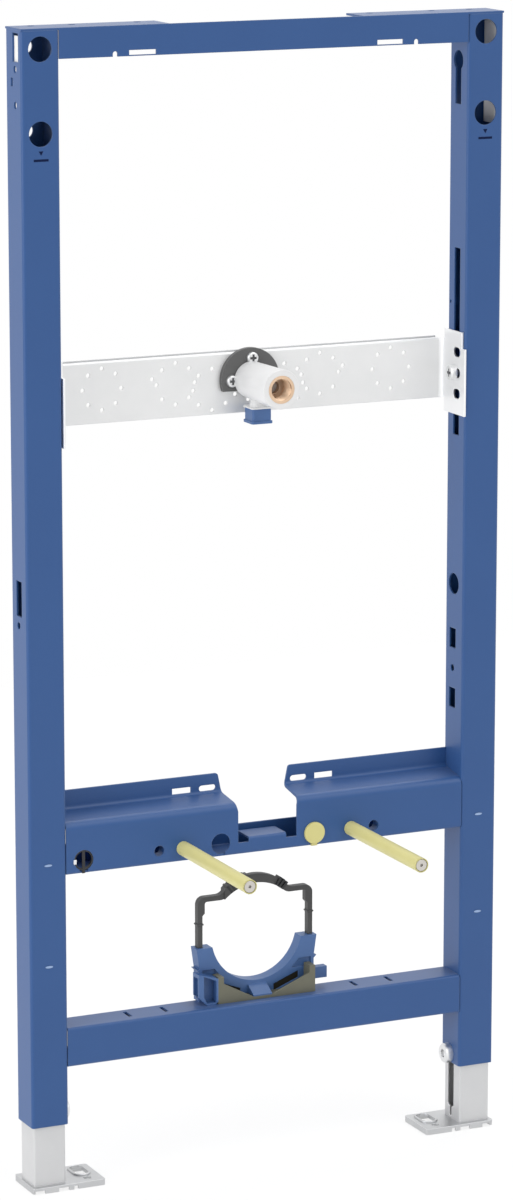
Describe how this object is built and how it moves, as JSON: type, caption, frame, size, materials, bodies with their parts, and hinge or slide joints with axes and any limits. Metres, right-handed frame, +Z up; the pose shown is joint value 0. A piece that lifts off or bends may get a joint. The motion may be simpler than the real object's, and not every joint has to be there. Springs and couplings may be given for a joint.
{
  "type": "wall hung toilet frame",
  "caption": "Painted steel floor-standing installation frame for a wall-hung toilet, with telescopic legs, stud crossbar, water connector plate and waste-pipe clamp.",
  "frame": {"origin": "on the floor, midway between the two leg axes", "axes": "+X to the right seen from the front, +Y to the wall behind, +Z up; the studs point along -Y"},
  "size_m": [0.5, 0.2035, 1.12],
  "materials": {
    "blue_coat": "satin powder coat",
    "zinc": "bright zinc plate",
    "yellow_plastic": "pale yellow moulded plastic",
    "dark_plastic": "dark grey moulded plastic",
    "white_plastic": "white moulded plastic",
    "brass": "plain turned brass",
    "blue_plastic": "blue moulded plastic",
    "olive_plastic": "olive grey moulded plastic"
  },
  "bodies": {
    "frame": {"left_upright": "blue_coat", "right_upright": "blue_coat", "top_rail": "blue_coat", "wc_crossbar": "blue_coat", "bottom_rail": "blue_coat", "left_leg_screw": "zinc", "right_leg_screw": "zinc", "left_stud": "zinc", "right_stud": "zinc", "left_stud_nut": "zinc", "right_stud_nut": "zinc", "left_anchor_strip": "zinc", "right_anchor_strip": "zinc", "left_stud_sleeve": "yellow_plastic", "right_stud_sleeve": "yellow_plastic", "keyhole_cap": "yellow_plastic", "pipe_strap": "dark_plastic", "keyhole_clip": "dark_plastic", "waste_cradle": "blue_plastic", "cradle_base": "olive_plastic"},
    "left_leg_unit": {"left_leg": "zinc", "left_foot_plate": "zinc"},
    "right_leg_unit": {"right_leg": "zinc", "right_foot_plate": "zinc"},
    "water_plate": {"mounting_plate": "zinc", "left_plate_ear": "zinc", "right_plate_ear": "zinc", "left_ear_screw": "zinc", "right_ear_screw": "zinc", "connector_flange": "dark_plastic", "connector_body": "white_plastic", "connector_socket": "brass", "connector_plug": "blue_plastic"}
  },
  "joints": [
    {"name": "left_leg_slide", "type": "slide", "parent": "frame", "child": "left_leg_unit", "axis": [0, 0, -1], "range_m": [-0.045, 0.134]},
    {"name": "right_leg_slide", "type": "slide", "parent": "frame", "child": "right_leg_unit", "axis": [0, 0, -1], "range_m": [-0.045, 0.134]},
    {"name": "water_plate_slide", "type": "slide", "parent": "frame", "child": "water_plate", "axis": [0, 0, 1], "range_m": [-0.053, 0.113]}
  ]
}
